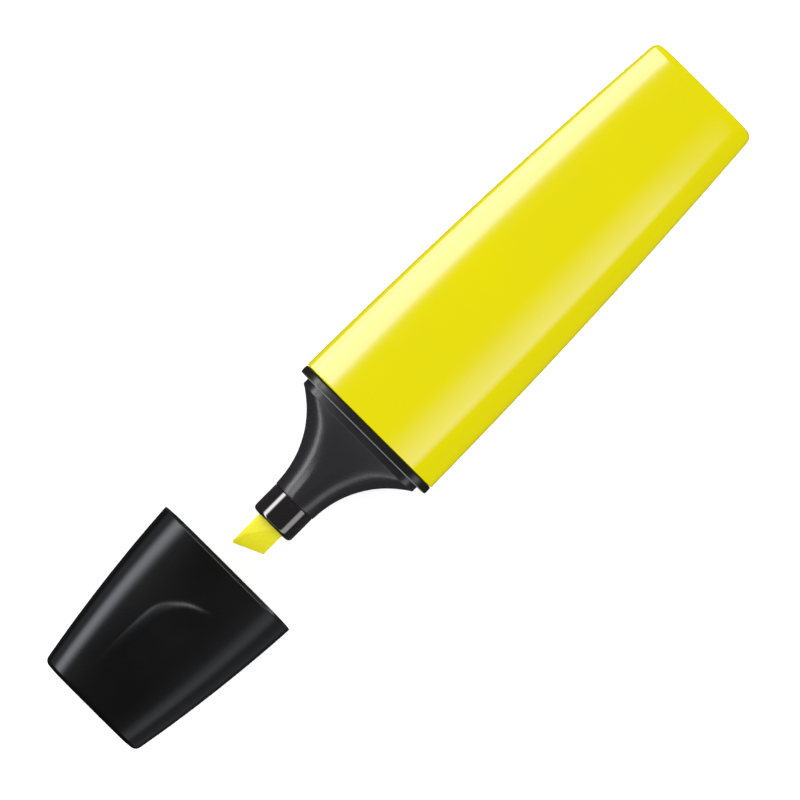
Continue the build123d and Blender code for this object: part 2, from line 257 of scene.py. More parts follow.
def loft(name, rings, steps, closed=False):
    """A piece through closed rings, each a dict of outline sizes. A ring marked sharp keeps a hard edge.

    A closed loft joins its last ring to its first. An open one has a face over each end. A ring that has its
    neighbour's x is drawn back by RING_GAP, against the way that the rings run.
    """
    piece = start_piece(name)
    last_x, way = None, 1
    for index, ring in enumerate(rings):
        sizes = {key: value for key, value in ring.items() if key != "sharp"}
        if last_x is not None:
            if abs(sizes["x"] - last_x) < RING_GAP / 2:
                sizes["x"] -= way * RING_GAP
            else:
                way = 1 if sizes["x"] > last_x else -1
        last_x = sizes["x"]
        draw_outline(piece, f"ring {index}", steps=steps, **sizes)
    count = len(rings)
    for index in range(count if closed else count - 1):
        select_rings(piece, index, (index + 1) % count)
        bpy.ops.mesh.bridge_edge_loops()
    if not closed:
        for index in (0, count - 1):
            select_rings(piece, index)
            bpy.ops.mesh.edge_face_add()
    for index, ring in enumerate(rings):
        if ring.get("sharp"):
            select_rings(piece, index)
            bpy.ops.transform.edge_crease(value=1)
    bpy.ops.mesh.select_all(action="SELECT")
    bpy.ops.mesh.normals_make_consistent(inside=False)
    bpy.ops.transform.resize(value=[1 / GROW] * 3, center_override=(0, 0, 0))
    bpy.ops.object.mode_set(mode="OBJECT")
    piece.vertex_groups.clear()
    return piece


def apply_subdivision(piece):
    """Smooths the piece with a subdivision surface and applies it."""
    smooth = piece.modifiers.new("Smooth", "SUBSURF")
    smooth.levels = SMOOTH_LEVELS
    smooth.render_levels = SMOOTH_LEVELS
    bpy.ops.object.modifier_apply(modifier=smooth.name)


def require_closed(piece):
    """Raises an error if an edge hasn't exactly two faces, as after a join that went wrong."""
    mesh = piece.data
    edge_of_corner = np.empty(len(mesh.loops), dtype=np.int32)
    mesh.loops.foreach_get("edge_index", edge_of_corner)
    if (np.bincount(edge_of_corner, minlength=len(mesh.edges)) != 2).any():
        raise RuntimeError(f"{piece.name} is not a closed surface")


def finish_piece(piece, material, body, cad_node, edge_angle=35):
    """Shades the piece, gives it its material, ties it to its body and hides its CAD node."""
    require_closed(piece)
    bpy.ops.object.select_all(action="DESELECT")
    piece.select_set(True)
    bpy.context.view_layer.objects.active = piece
    bpy.ops.object.shade_smooth_by_angle(angle=radians(edge_angle))
    piece.data.materials.clear()
    piece.data.materials.append(material)
    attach(piece, body)
    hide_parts(cad_node)


def bowed(start, end, bow, along):
    """A size that runs from start to end and bulges by bow at the middle."""
    return start + (end - start) * along + 4 * bow * along * (1 - along)


def body_ring(sizes, x, inset, is_cap=False, sharp=False):
    """The body's section at x, drawn in by inset."""
    if is_cap:
        along = (MOUTH_X - x) / (MOUTH_X - CAP_END_X)
        width = bowed(JOINT_WIDTH, sizes.cap_end_width, 2 * sizes.cap_bow, along)
        thickness = bowed(JOINT_THICKNESS, sizes.cap_end_thickness, 0, along)
        corner = bowed(sizes.joint_corner, sizes.cap_end_corner, 0, along)
    else:
        along = max(0, (x - BARREL_FRONT) / (TAIL_X - BARREL_FRONT))
        width = bowed(JOINT_WIDTH, sizes.tail_width, 2 * sizes.barrel_bow, along)
        thickness = bowed(JOINT_THICKNESS, sizes.tail_thickness, 0, along)
        corner = bowed(sizes.joint_corner, sizes.tail_corner, 0, along)
    return {
        "x": x,
        "half_width": width / 2 - inset,
        "half_thickness": thickness / 2 - inset,
        "corner": corner - inset,
        "flat": sizes.crown_flat,
        "crown_angle": sizes.crown_angle,
        "sharp": sharp,
    }


def round_ring(sizes, x, radius, sharp=False):
    """A round section at x, with a very short level strip so that it has as many points as the body's."""
    return {
        "x": x,
        "half_width": radius,
        "half_thickness": radius,
        "corner": radius,
        "flat": radius / ROUND_FLATNESS,
        "crown_angle": sizes.crown_angle,
        "sharp": sharp,
    }


def nib_ring(sizes, x, clearance=0.0, sharp=False):
    """The nib's section at x, or that of a hole round it with this clearance."""
    half_width = (NIB_HIGH.y - NIB_LOW.y) / 2 + clearance
    return {
        "x": x,
        "half_width": half_width,
        "half_thickness": (NIB_HIGH.z - NIB_LOW.z) / 2 + clearance,
        "corner": sizes.nib_corner + clearance,
        "flat": half_width * NIB_FLAT,
        "crown_angle": sizes.crown_angle * NIB_CROWN,
        "sharp": sharp,
    }


def stations(start, end, count):
    """Places evenly spaced from start to end, both included."""
    return [start + (end - start) * index / (count - 1) for index in range(count)]


# ---------------------------------------------------------------- materials


def shader_of(material):
    """The Principled shader of a material."""
    return material.node_tree.nodes["Principled BSDF"]


def new_material(name):
    """A material with its Principled shader, and the tree and shader to work on."""
    material = bpy.data.materials.new(name)
    material.use_nodes = True
    return material, material.node_tree, shader_of(material)


def node(tree, kind, inputs=(), **settings):
    """A node with its settings and the values of its inputs."""
    made = tree.nodes.new(kind)
    for key, value in settings.items():
        setattr(made, key, value)
    for key, value in dict(inputs).items():
        made.inputs[key].default_value = value
    return made


def rgba(rgb):
    """A colour with full alpha."""
    return (*rgb, 1)


def moulded_surface_group():
    """Node group for moulded plastic: a slow waviness, a fine texture and a patchy roughness."""
    found = bpy.data.node_groups.get("Moulded surface")
    if found:
        return found
    group = bpy.data.node_groups.new("Moulded surface", "ShaderNodeTree")
    add = group.interface.new_socket
    add("Wave scale", in_out="INPUT", socket_type="NodeSocketFloat")
    add("Grain scale", in_out="INPUT", socket_type="NodeSocketFloat")
    add("Grain share", in_out="INPUT", socket_type="NodeSocketFloat")
    add("Roughness low", in_out="INPUT", socket_type="NodeSocketFloat")
    add("Roughness high", in_out="INPUT", socket_type="NodeSocketFloat")
    add("Height", in_out="OUTPUT", socket_type="NodeSocketFloat")
    add("Roughness", in_out="OUTPUT", socket_type="NodeSocketFloat")
    add("Patches", in_out="OUTPUT", socket_type="NodeSocketFloat")
    enter = node(group, "NodeGroupInput")
    leave = node(group, "NodeGroupOutput")
    place = node(group, "ShaderNodeTexCoord")
    wave = node(group, "ShaderNodeTexNoise", {"Detail": 1.0, "Roughness": 0.4})
    grain = node(group, "ShaderNodeTexNoise", {"Detail": 3.0, "Roughness": 0.6})
    patches = node(group, "ShaderNodeTexNoise", {"Scale": 55.0, "Detail": 3.0, "Roughness": 0.55})
    height = node(group, "ShaderNodeMix", data_type="FLOAT")
    spread = node(group, "ShaderNodeMapRange", {"From Min": 0.2, "From Max": 0.8},
                  interpolation_type="SMOOTHSTEP")
    for texture in (wave, grain, patches):
        group.links.new(place.outputs["Object"], texture.inputs["Vector"])
    group.links.new(enter.outputs["Wave scale"], wave.inputs["Scale"])
    group.links.new(enter.outputs["Grain scale"], grain.inputs["Scale"])
    group.links.new(enter.outputs["Grain share"], height.inputs["Factor"])
    group.links.new(wave.outputs["Fac"], height.inputs["A"])
    group.links.new(grain.outputs["Fac"], height.inputs["B"])
    group.links.new(height.outputs["Result"], leave.inputs["Height"])
    group.links.new(patches.outputs["Fac"], spread.inputs["Value"])
    group.links.new(enter.outputs["Roughness low"], spread.inputs["To Min"])
    group.links.new(enter.outputs["Roughness high"], spread.inputs["To Max"])
    group.links.new(spread.outputs["Result"], leave.inputs["Roughness"])
    group.links.new(patches.outputs["Fac"], leave.inputs["Patches"])
    return group


def edge_wear_group():
    """Node group that masks the edges where handling has polished and lightened the plastic."""
    found = bpy.data.node_groups.get("Edge wear")
    if found:
        return found
    group = bpy.data.node_groups.new("Edge wear", "ShaderNodeTree")
    add = group.interface.new_socket
    add("Start", in_out="INPUT", socket_type="NodeSocketFloat")
    add("Full", in_out="INPUT", socket_type="NodeSocketFloat")
    add("Mask", in_out="OUTPUT", socket_type="NodeSocketFloat")
    enter = node(group, "NodeGroupInput")
    leave = node(group, "NodeGroupOutput")
    place = node(group, "ShaderNodeTexCoord")
    shape = node(group, "ShaderNodeNewGeometry")
    scuffs = node(group, "ShaderNodeTexNoise", {"Scale": 900.0, "Detail": 4.0, "Roughness": 0.7})
    ridge = node(group, "ShaderNodeMapRange", interpolation_type="SMOOTHSTEP")
    broken = node(group, "ShaderNodeMath", operation="MULTIPLY")
    group.links.new(place.outputs["Object"], scuffs.inputs["Vector"])
    group.links.new(shape.outputs["Pointiness"], ridge.inputs["Value"])
    group.links.new(enter.outputs["Start"], ridge.inputs["From Min"])
    group.links.new(enter.outputs["Full"], ridge.inputs["From Max"])
    group.links.new(ridge.outputs["Result"], broken.inputs[0])
    group.links.new(scuffs.outputs["Fac"], broken.inputs[1])
    group.links.new(broken.outputs["Value"], leave.inputs["Mask"])
    return group


WEAR_START, WEAR_FULL = 0.53, 0.6  # pointiness of an edge where its wear begins, and where it is full
PATCH_TONE = 0.94  # how dark a patch is, as a share of the base colour


def plastic(name, base, worn, roughness, wave, grain, grain_share, bump):
    """Moulded plastic: base and worn colours, a roughness range, wave and grain sizes and a bump height."""
    material, tree, shader = new_material(name)
    surface = node(tree, "ShaderNodeGroup", {
        "Wave scale": wave,
        "Grain scale": grain,
        "Grain share": grain_share,
        "Roughness low": roughness[0],
        "Roughness high": roughness[1],
    }, node_tree=moulded_surface_group())
    edges = node(tree, "ShaderNodeGroup", {"Start": WEAR_START, "Full": WEAR_FULL},
                 node_tree=edge_wear_group())
    darker = [channel * PATCH_TONE for channel in base]
    tone = node(tree, "ShaderNodeMix", {"A": rgba(base), "B": rgba(darker)}, data_type="RGBA")
    rubbed = node(tree, "ShaderNodeMix", {"B": rgba(worn)}, data_type="RGBA")
    relief = node(tree, "ShaderNodeBump", {"Strength": 1.0, "Distance": bump})
    tree.links.new(surface.outputs["Patches"], tone.inputs["Factor"])
    tree.links.new(tone.outputs["Result"], rubbed.inputs["A"])
    tree.links.new(edges.outputs["Mask"], rubbed.inputs["Factor"])
    tree.links.new(rubbed.outputs["Result"], shader.inputs["Base Color"])
    tree.links.new(surface.outputs["Roughness"], shader.inputs["Roughness"])
    tree.links.new(surface.outputs["Height"], relief.inputs["Height"])
    tree.links.new(relief.outputs["Normal"], shader.inputs["Normal"])
    return material


def colour_behind(material, start, rgb):
    """Gives a piece another colour behind this place along X."""
    tree = material.node_tree
    shader = shader_of(material)
    place = node(tree, "ShaderNodeTexCoord")
    split = node(tree, "ShaderNodeSeparateXYZ")
    behind = node(tree, "ShaderNodeMath", {1: start}, operation="GREATER_THAN")
    tone = node(tree, "ShaderNodeMix", {"B": rgba(rgb)}, data_type="RGBA")
    tree.links.new(place.outputs["Object"], split.inputs["Vector"])
    tree.links.new(split.outputs["X"], behind.inputs[0])
    tree.links.new(behind.outputs["Value"], tone.inputs["Factor"])
    tree.links.new(shader.inputs["Base Color"].links[0].from_socket, tone.inputs["A"])
    tree.links.new(tone.outputs["Result"], shader.inputs["Base Color"])


def fibre(name, base, soaked, soak_from, soak_to, stretch, bump, roughness, shine):
    """Bonded fibre that runs along the pen: streaks of two tones, a soak colour along X and a matt bump."""
    material, tree, shader = new_material(name)
    place = node(tree, "ShaderNodeTexCoord")
    turn = node(tree, "ShaderNodeMapping", {"Scale": (stretch, 1, 1)})
    strands = node(tree, "ShaderNodeTexNoise", {"Scale": 6000.0, "Detail": 4.0, "Roughness": 0.7})
    split = node(tree, "ShaderNodeSeparateXYZ")
    soak = node(tree, "ShaderNodeMapRange", {"From Min": soak_from, "From Max": soak_to},
                interpolation_type="SMOOTHSTEP")
    tone = node(tree, "ShaderNodeMix", {"A": rgba(base), "B": rgba(soaked)}, data_type="RGBA")
    streak = node(tree, "ShaderNodeMix", {"Factor": 0.25}, data_type="RGBA", blend_type="MULTIPLY")
    relief = node(tree, "ShaderNodeBump", {"Strength": 1.0, "Distance": bump})
    tree.links.new(place.outputs["Object"], turn.inputs["Vector"])
    tree.links.new(turn.outputs["Vector"], strands.inputs["Vector"])
    tree.links.new(place.outputs["Object"], split.inputs["Vector"])
    tree.links.new(split.outputs["X"], soak.inputs["Value"])
    tree.links.new(soak.outputs["Result"], tone.inputs["Factor"])
    tree.links.new(tone.outputs["Result"], streak.inputs["A"])
    tree.links.new(strands.outputs["Color"], streak.inputs["B"])
    tree.links.new(streak.outputs["Result"], shader.inputs["Base Color"])
    tree.links.new(strands.outputs["Fac"], relief.inputs["Height"])
    tree.links.new(relief.outputs["Normal"], shader.inputs["Normal"])
    shader.inputs["Roughness"].default_value = roughness
    shader.inputs["Specular IOR Level"].default_value = shine
    return material


# ---------------------------------------------------------------- pieces


class HIGHLIGHTER_OT_barrel(Operator):
    """Model the yellow barrel: a tapered, crowned shell that is closed at the tail"""

    bl_idname = "highlighter.barrel"
    bl_label = "Barrel"

    def execute(self, context):
        sizes = context.scene.highlighter_sizes
        colours = context.scene.highlighter_colours
        rim = sizes.barrel_rim
        edge = sizes.tail_edge
        inner_end = TAIL_X - sizes.tail_wall
        rings = [body_ring(sizes, x, sizes.wall) for x in stations(inner_end, BARREL_FRONT + rim, count=4)]
        rings[0]["sharp"] = True
        rings.append(body_ring(sizes, BARREL_FRONT, sizes.wall, sharp=True))
        rings.append(body_ring(sizes, BARREL_FRONT, rim))
        rings.append(body_ring(sizes, BARREL_FRONT + rim, 0))
        side_start = BARREL_FRONT + SMALL_EDGE_HOLD * rim
        side_end = TAIL_X - TAIL_HOLD * edge
        rings += [body_ring(sizes, x, 0) for x in stations(side_start, side_end, count=12)]
        for turn in stations(0, pi / 2, count=7):
            x = TAIL_X - RING_GAP - edge * (1 - sin(turn))
            rings.append(body_ring(sizes, x, edge * (1 - cos(turn))))
        rings.append(body_ring(sizes, TAIL_X, TAIL_FACE_HOLD * edge, sharp=True))
        piece = loft("barrel_body", rings, steps=BODY_STEPS)
        apply_subdivision(piece)
        material = plastic("Yellow plastic", colours.barrel, worn=(0.68, 0.615, 0.02),
                           roughness=(0.08, 0.12), wave=120, grain=2500, grain_share=0.15, bump=0.012 * MM)
        finish_piece(piece, material, "pen", "barrel")
        return {"FINISHED"}


class HIGHLIGHTER_OT_front_section(Operator):
    """Model the black front section: plug, flange, cap spigot and concave neck"""

    bl_idname = "highlighter.front_section"
    bl_label = "Front section"

    def execute(self, context):
        sizes = context.scene.highlighter_sizes
        colours = context.scene.highlighter_colours
        edge = sizes.flange_edge
        seat = BARREL_FRONT - sizes.flange_length
        spigot_front = seat - sizes.spigot_length
        neck_front = SLEEVE_HIGH.x - sizes.stem_length
        guide_end = BARREL_FRONT + sizes.guide_back
        plug_inset = sizes.wall + sizes.plug_clearance
        plug_inner = plug_inset + sizes.plug_wall
        step = sizes.spigot_edge

        def at_flange(x, inset, sharp=False):
            """The section that the body has at the flange, moved to x."""
            ring = body_ring(sizes, BARREL_FRONT, inset, sharp=sharp)
            ring["x"] = x
            return ring

        rings = [at_flange(BARREL_FRONT - edge, 0), at_flange(BARREL_FRONT, edge)]
        rings.append(at_flange(BARREL_FRONT, plug_inset, sharp=True))
        rings.append(body_ring(sizes, PLUG_BACK, plug_inset, sharp=True))
        rings.append(body_ring(sizes, PLUG_BACK, plug_inner, sharp=True))
        rings.append(at_flange(BARREL_FRONT, plug_inner, sharp=True))
        rings.append(round_ring(sizes, BARREL_FRONT, sizes.neck_radius, sharp=True))
        rings.append(round_ring(sizes, guide_end, sizes.neck_radius, sharp=True))
        rings.append(nib_ring(sizes, guide_end, sizes.fit, sharp=True))
        rings.append(nib_ring(sizes, SLEEVE_HIGH.x + sizes.fit, sizes.fit, sharp=True))
        rings.append(round_ring(sizes, SLEEVE_HIGH.x + sizes.fit, sizes.stem_radius + sizes.fit, sharp=True))
        rings.append(round_ring(sizes, neck_front, sizes.stem_radius + sizes.fit, sharp=True))
        rings.append(round_ring(sizes, neck_front, sizes.neck_radius - edge / 2))
        rings.append(round_ring(sizes, neck_front + edge / 2, sizes.neck_radius))
        run = spigot_front - neck_front
        spigot_corner = sizes.joint_corner - sizes.spigot_inset - step
        root_width = JOINT_WIDTH / 2 - sizes.spigot_inset - step - sizes.neck_root_step
        root_thickness = JOINT_THICKNESS / 2 - sizes.spigot_inset - sizes.neck_root_step / 2
        for along in stations(NECK_START, 1, count=11):
            half_sizes = []
            for root in (root_width, root_thickness):
                rise = root - sizes.neck_radius
                radius = (run**2 + rise**2) / (2 * rise)
                half_sizes.append(sizes.neck_radius + radius - sqrt(radius**2 - (along * run) ** 2))
            half_width, half_thickness = half_sizes
            round_corner = NECK_ROUNDNESS * half_thickness
            corner = round_corner + along**3 * (spigot_corner - round_corner)
            free = half_width - corner * (1 - sin(sizes.crown_angle))
            rings.append({
                "x": neck_front + along * run,
                "half_width": half_width,
                "half_thickness": half_thickness,
                "corner": corner,
                "flat": max(min(NECK_FLAT * free, sizes.crown_flat), sizes.neck_radius / ROUND_FLATNESS),
                "crown_angle": sizes.crown_angle,
            })
        for turn in stations(pi / 2, 0, count=4):
            x = spigot_front + step * (1 - sin(turn))
            drop = sizes.neck_root_step / 4 * (1 - cos(turn))
            rings.append(at_flange(x, sizes.spigot_inset + step * (1 - cos(turn))))
            rings[-1]["half_thickness"] = JOINT_THICKNESS / 2 - sizes.spigot_inset - drop
        rings.append(at_flange(seat, sizes.spigot_inset, sharp=True))
        rings.append(at_flange(seat, edge))
        rings.append(at_flange(seat + edge, 0))
        piece = loft("front_section_body", rings, steps=BODY_STEPS, closed=True)
        apply_subdivision(piece)
        material = plastic("Black satin plastic", colours.neck, worn=(0.05, 0.05, 0.052),
                           roughness=(0.25, 0.33), wave=200, grain=3500, grain_share=0.6, bump=0.03 * MM)
        # Painted highlight: a narrow grey band at the flange's front edge, where that edge would catch light
        colour_behind(material, seat - RING_GAP, colours.painted_rim_highlight)
        # Painted shade: the flange gets a darker black than the neck, standing in for its polished face
        # reflecting less light
        colour_behind(material, seat - RING_GAP + sizes.painted_rim_highlight, colours.flange)
        finish_piece(piece, material, "pen", "front_section")
        return {"FINISHED"}


class HIGHLIGHTER_OT_nib_sleeve(Operator):
    """Model the glossy sleeve that holds the nib, with its stem"""

    bl_idname = "highlighter.nib_sleeve"
    bl_label = "Nib sleeve"

    def execute(self, context):
        sizes = context.scene.highlighter_sizes
        colours = context.scene.highlighter_colours
        radius = (SLEEVE_HIGH.y - SLEEVE_LOW.y) / 2
        shoulder = SLEEVE_HIGH.x - sizes.stem_length
        edge = sizes.shoulder_edge
        front_edge = sizes.sleeve_edge
        rings = [nib_ring(sizes, SLEEVE_HIGH.x, sizes.fit, sharp=True),
                 round_ring(sizes, SLEEVE_HIGH.x, sizes.stem_radius, sharp=True),
                 round_ring(sizes, shoulder, sizes.stem_radius, sharp=True),
                 round_ring(sizes, shoulder, radius - edge),
                 round_ring(sizes, shoulder - edge, radius)]
        side_start = shoulder - SMALL_EDGE_HOLD * edge
        side_end = SLEEVE_LOW.x + front_edge * SLEEVE_HOLD
        rings += [round_ring(sizes, x, radius) for x in stations(side_start, side_end, count=3)]
        for turn in stations(0, pi / 2, count=6):
            x = SLEEVE_LOW.x + front_edge * (1 - sin(turn))
            rings.append(round_ring(sizes, x, radius - front_edge * (1 - cos(turn))))
        rings.append(nib_ring(sizes, SLEEVE_LOW.x, sizes.fit, sharp=True))
        piece = loft("nib_sleeve_collar", rings, steps=ROUND_STEPS, closed=True)
        apply_subdivision(piece)
        material = plastic("Glossy black plastic", colours.sleeve, worn=(0.05, 0.05, 0.055),
                           roughness=(0.06, 0.1), wave=250, grain=3000, grain_share=0.1, bump=0.003 * MM)
        shader = shader_of(material)
        shader.inputs["Specular IOR Level"].default_value = 1.0
        shader.inputs["Coat Weight"].default_value = 1.0
        finish_piece(piece, material, "pen", "nib_sleeve")
        return {"FINISHED"}


class HIGHLIGHTER_OT_nib(Operator):
    """Model the chisel nib: a fibre stick cut on the slant and bevelled on both faces"""

    bl_idname = "highlighter.nib"
    bl_label = "Nib"

    def execute(self, context):
        sizes = context.scene.highlighter_sizes
        colours = context.scene.highlighter_colours
        front = NIB_LOW.x
        rings = [nib_ring(sizes, x) for x in (NIB_HIGH.x, front)]
        piece = loft("nib_tip", rings, steps=NIB_STEPS)
        bpy.ops.object.mode_set(mode="EDIT")
        long_edge = Vector((front, NIB_HIGH.y, AXIS_HEIGHT))
        cut = sizes.nib_cut
        bevel = sizes.nib_bevel
        bevel_way = Vector((-cos(sizes.nib_bevel_turn), -sin(sizes.nib_bevel_turn), 0))
        tip_way = Vector((-cos(cut), 1 - sin(cut), 0)).normalized()
        tip = long_edge - sizes.nib_point * tip_way
        bpy.ops.mesh.select_all(action="SELECT")
        bpy.ops.mesh.bisect(plane_co=long_edge, plane_no=(-cos(cut), -sin(cut), 0),
                            use_fill=True, clear_outer=True)
        bpy.ops.mesh.select_all(action="SELECT")
        bpy.ops.mesh.bisect(plane_co=tip, plane_no=tip_way, use_fill=True, clear_outer=True)
        half_thickness = (NIB_HIGH.z - NIB_LOW.z) / 2
        for face in (1, -1):
            bpy.ops.mesh.select_all(action="SELECT")
            bpy.ops.mesh.bisect(
                plane_co=long_edge + Vector((sizes.nib_land, 0, face * half_thickness)),
                plane_no=sin(bevel) * bevel_way + Vector((0, 0, face * cos(bevel))),
                use_fill=True, clear_outer=True)
        bpy.ops.object.mode_set(mode="OBJECT")
        soften = piece.modifiers.new("Soft edges", "BEVEL")
        soften.width = sizes.nib_edge
        soften.segments = 3
        soften.limit_method = "ANGLE"
        soften.angle_limit = radians(16)  # keeps the soft edges off the facets of the round corners
        bpy.ops.object.modifier_apply(modifier=soften.name)
        material = fibre("Inked fibre", colours.nib, colours.soaked_nib, soak_from=SLEEVE_LOW.x - 1.2 * MM,
                         soak_to=SLEEVE_LOW.x + 0.5 * MM, stretch=0.12, bump=0.06 * MM, roughness=0.4,
                         shine=0.4)
        finish_piece(piece, material, "pen", "nib", edge_angle=30)
        return {"FINISHED"}


# The pad's ledge, in mm from the mouth and mm to the side
PAD_LEDGE = [(26.8, 4.35), (15.0, 4.35), (10.5, 3.4), (7.6, 0.0), (5.9, -4.8)]
PAD_PEAK = 2  # the ledge point where the pad is highest
PAD_HOLLOW = 1.3  # over 1, the pad sinks away in a slightly hollow curve
LEDGE_SPREAD = 3  # how many widths wider the ledge rolls over at its long side than at its front
OUTER_DEPTH = 1.0 * MM  # a point this far under a broad face's level no longer belongs to it


def ledge_curve(samples=24):
    """The pad's ledge as a smooth line through its points, in metres from the mouth and to the side."""
    points = np.array(PAD_LEDGE) * MM
    ends = np.vstack([2 * points[0] - points[1], points, 2 * points[-1] - points[-2]])
    line = []
    for index in range(1, len(ends) - 2):
        before, start, end, after = ends[index - 1:index + 3]
        for t in np.linspace(0, 1, samples, endpoint=False):
            square = 2 * before - 5 * start + 4 * end - after
            cube = 3 * start - before - 3 * end + after
            line.append(0.5 * ((2 * start) + (end - before) * t + square * t**2 + cube * t**3))
    line.append(points[-1])
    return np.array(line)


def ease(value):
    """0 to 1 with level ends."""
    value = np.clip(value, 0, 1)
    return value * value * (3 - 2 * value)


def raise_grip_pads(piece, sizes):
    """Lifts the cap's outer broad faces into a pad that ends in a rolled ledge and sinks away behind it."""
    mesh = piece.data
    points = np.empty(len(mesh.vertices) * 3)
    mesh.vertices.foreach_get("co", points)
    points = points.reshape(-1, 3)
    depth = MOUTH_X - points[:, 0]
    taper = (sizes.cap_end_thickness - JOINT_THICKNESS) / 2
    level = JOINT_THICKNESS / 2 + taper * depth / (MOUTH_X - CAP_END_X)
    line = ledge_curve()
    run = line[1:] - line[:-1]
    far, peak, end = (np.array([*PAD_LEDGE[index], 0.0]) * MM for index in (0, PAD_PEAK, -1))
    peak[2] = sizes.pad_height
    normal = np.cross(far - peak, end - peak)
    for face in (1, -1):
        place = np.stack([depth, face * points[:, 1]], axis=1)
        gap = place[:, None, :] - line[None, :-1, :]
        along = np.clip((gap * run).sum(2) / (run**2).sum(1), 0, 1)
        distance = np.linalg.norm(gap - along[:, :, None] * run, axis=2)
        nearest = distance.argmin(1)
        rows = np.arange(len(place))
        step = gap[rows, nearest]
        cross = run[nearest, 0] * step[:, 1] - run[nearest, 1] * step[:, 0]
        inside = distance[rows, nearest] * np.sign(cross)
        slant = (peak[2] - ((place - peak[:2]) @ normal[:2]) / normal[2]) / sizes.pad_height
        spread = 1 + LEDGE_SPREAD * ease(place[:, 1] / peak[1])
        roll = np.clip(inside / (sizes.pad_edge * spread), 0, 1)
        rise = sizes.pad_height * np.clip(slant, 0, 1) ** PAD_HOLLOW * (1 - (1 - roll) ** 2)
        outer = face * (points[:, 2] - AXIS_HEIGHT) > level - OUTER_DEPTH
        points[:, 2] += np.where(outer, face * rise, 0)
    mesh.vertices.foreach_set("co", points.ravel())
    mesh.update()


class HIGHLIGHTER_OT_cap(Operator):
    """Model the black cap: a tapered shell with a collar inside and a grip pad on each broad face"""

    bl_idname = "highlighter.cap"
    bl_label = "Cap"

    def execute(self, context):
        sizes = context.scene.highlighter_sizes
        colours = context.scene.highlighter_colours
        wall = sizes.spigot_inset - sizes.cap_fit
        inner_end = CAP_END_X + sizes.cap_end_wall
        collar_front = inner_end + sizes.collar_length
        seal_radius = (SEAL_HIGH.y - SEAL_LOW.y) / 2 + sizes.fit
        collar_radius = seal_radius + sizes.collar_wall
        collar_half_thickness = sizes.cap_end_thickness / 2 - wall - sizes.fit
        edge = sizes.cap_mouth_edge
        end_edge = sizes.cap_end_edge

        rings = [round_ring(sizes, inner_end, seal_radius, sharp=True),
                 round_ring(sizes, collar_front, seal_radius, sharp=True),
                 round_ring(sizes, collar_front, collar_radius, sharp=True),
                 round_ring(sizes, inner_end, collar_radius, sharp=True),
                 body_ring(sizes, inner_end, wall, is_cap=True, sharp=True)]
        for ring in rings[2:4]:
            ring["half_thickness"] = collar_half_thickness
            ring["corner"] = COLLAR_ROUNDNESS * collar_half_thickness
        wall_start = inner_end + 4 * MM
        wall_end = MOUTH_X - MOUTH_WALL_HOLD * edge
        rings += [body_ring(sizes, x, wall, is_cap=True) for x in stations(wall_start, wall_end, count=5)]
        rings.append(body_ring(sizes, MOUTH_X, wall, is_cap=True, sharp=True))
        rings.append(body_ring(sizes, MOUTH_X, edge, is_cap=True))
        rings.append(body_ring(sizes, MOUTH_X - edge, 0, is_cap=True))
        side_start = MOUTH_X - SMALL_EDGE_HOLD * edge
        side_end = CAP_END_X + CAP_END_HOLD * end_edge
        rings += [body_ring(sizes, x, 0, is_cap=True) for x in stations(side_start, side_end, count=26)]
        for turn in stations(0, pi / 2, count=6):
            x = CAP_END_X + RING_GAP + end_edge * (1 - sin(turn))
            rings.append(body_ring(sizes, x, end_edge * (1 - cos(turn)), is_cap=True))
        rings.append(body_ring(sizes, CAP_END_X, CAP_FACE_HOLD * end_edge, is_cap=True, sharp=True))
        piece = loft("cap_body", rings, steps=CAP_STEPS)
        apply_subdivision(piece)
        raise_grip_pads(piece, sizes)
        material = plastic("Black glossy plastic", colours.cap, worn=(0.035, 0.035, 0.037),
                           roughness=(0.2, 0.26), wave=160, grain=3000, grain_share=0.4, bump=0.016 * MM)
        finish_piece(piece, material, "cap", "cap_shell", edge_angle=50)
        return {"FINISHED"}


class HIGHLIGHTER_OT_inner_pieces(Operator):
    """Finish the pieces inside: the reservoir's fibre core and film, and the cap's seal"""

    bl_idname = "highlighter.inner_pieces"
    bl_label = "Inner pieces"

    def execute(self, context):
        core_low, core_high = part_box("reservoir_core")
        core = fibre("Reservoir fibre", base=(0.86, 0.82, 0.35), soaked=(0.88, 0.8, 0.02),
                     soak_from=core_high.x, soak_to=core_low.x, stretch=0.08, bump=0.1 * MM, roughness=0.8,
                     shine=0.1)
        film = plastic("Reservoir film", base=(0.82, 0.84, 0.82), worn=(0.95, 0.95, 0.95),
                       roughness=(0.2, 0.35), wave=300, grain=2500, grain_share=0.4, bump=0.01 * MM)
        seal = plastic("Soft seal plastic", base=(0.012, 0.012, 0.013), worn=(0.06, 0.06, 0.06),
                       roughness=(0.35, 0.5), wave=300, grain=4000, grain_share=0.6, bump=0.01 * MM)
        for name, material in (("reservoir_core", core), ("reservoir_wrap", film), ("cap_seal", seal)):
            mesh = frame["nodes"][name].data
            mesh.materials.clear()
            mesh.materials.append(material)
        return {"FINISHED"}


# ---------------------------------------------------------------- stage


LIGHT_DISTANCE = 1.0
COOL = (0.5, 0.55, 1.0)  # a bluish light, whose reflection looks white on yellow
PALE_BLUE = (0.91, 0.93, 1.0)
FLOOR_SIZE = 16
FLOOR_GLOW = 0.42
ROOM_LIGHT = 1.25
ROOM_REFLECTION = 0.045  # how bright the room looks in a glossy surface
VIEW_WIDTH = 123.9 * MM
VIEW_CENTRE = (0.05 * MM, -0.53 * MM)
VIEW_TURN = -45.1  # degrees


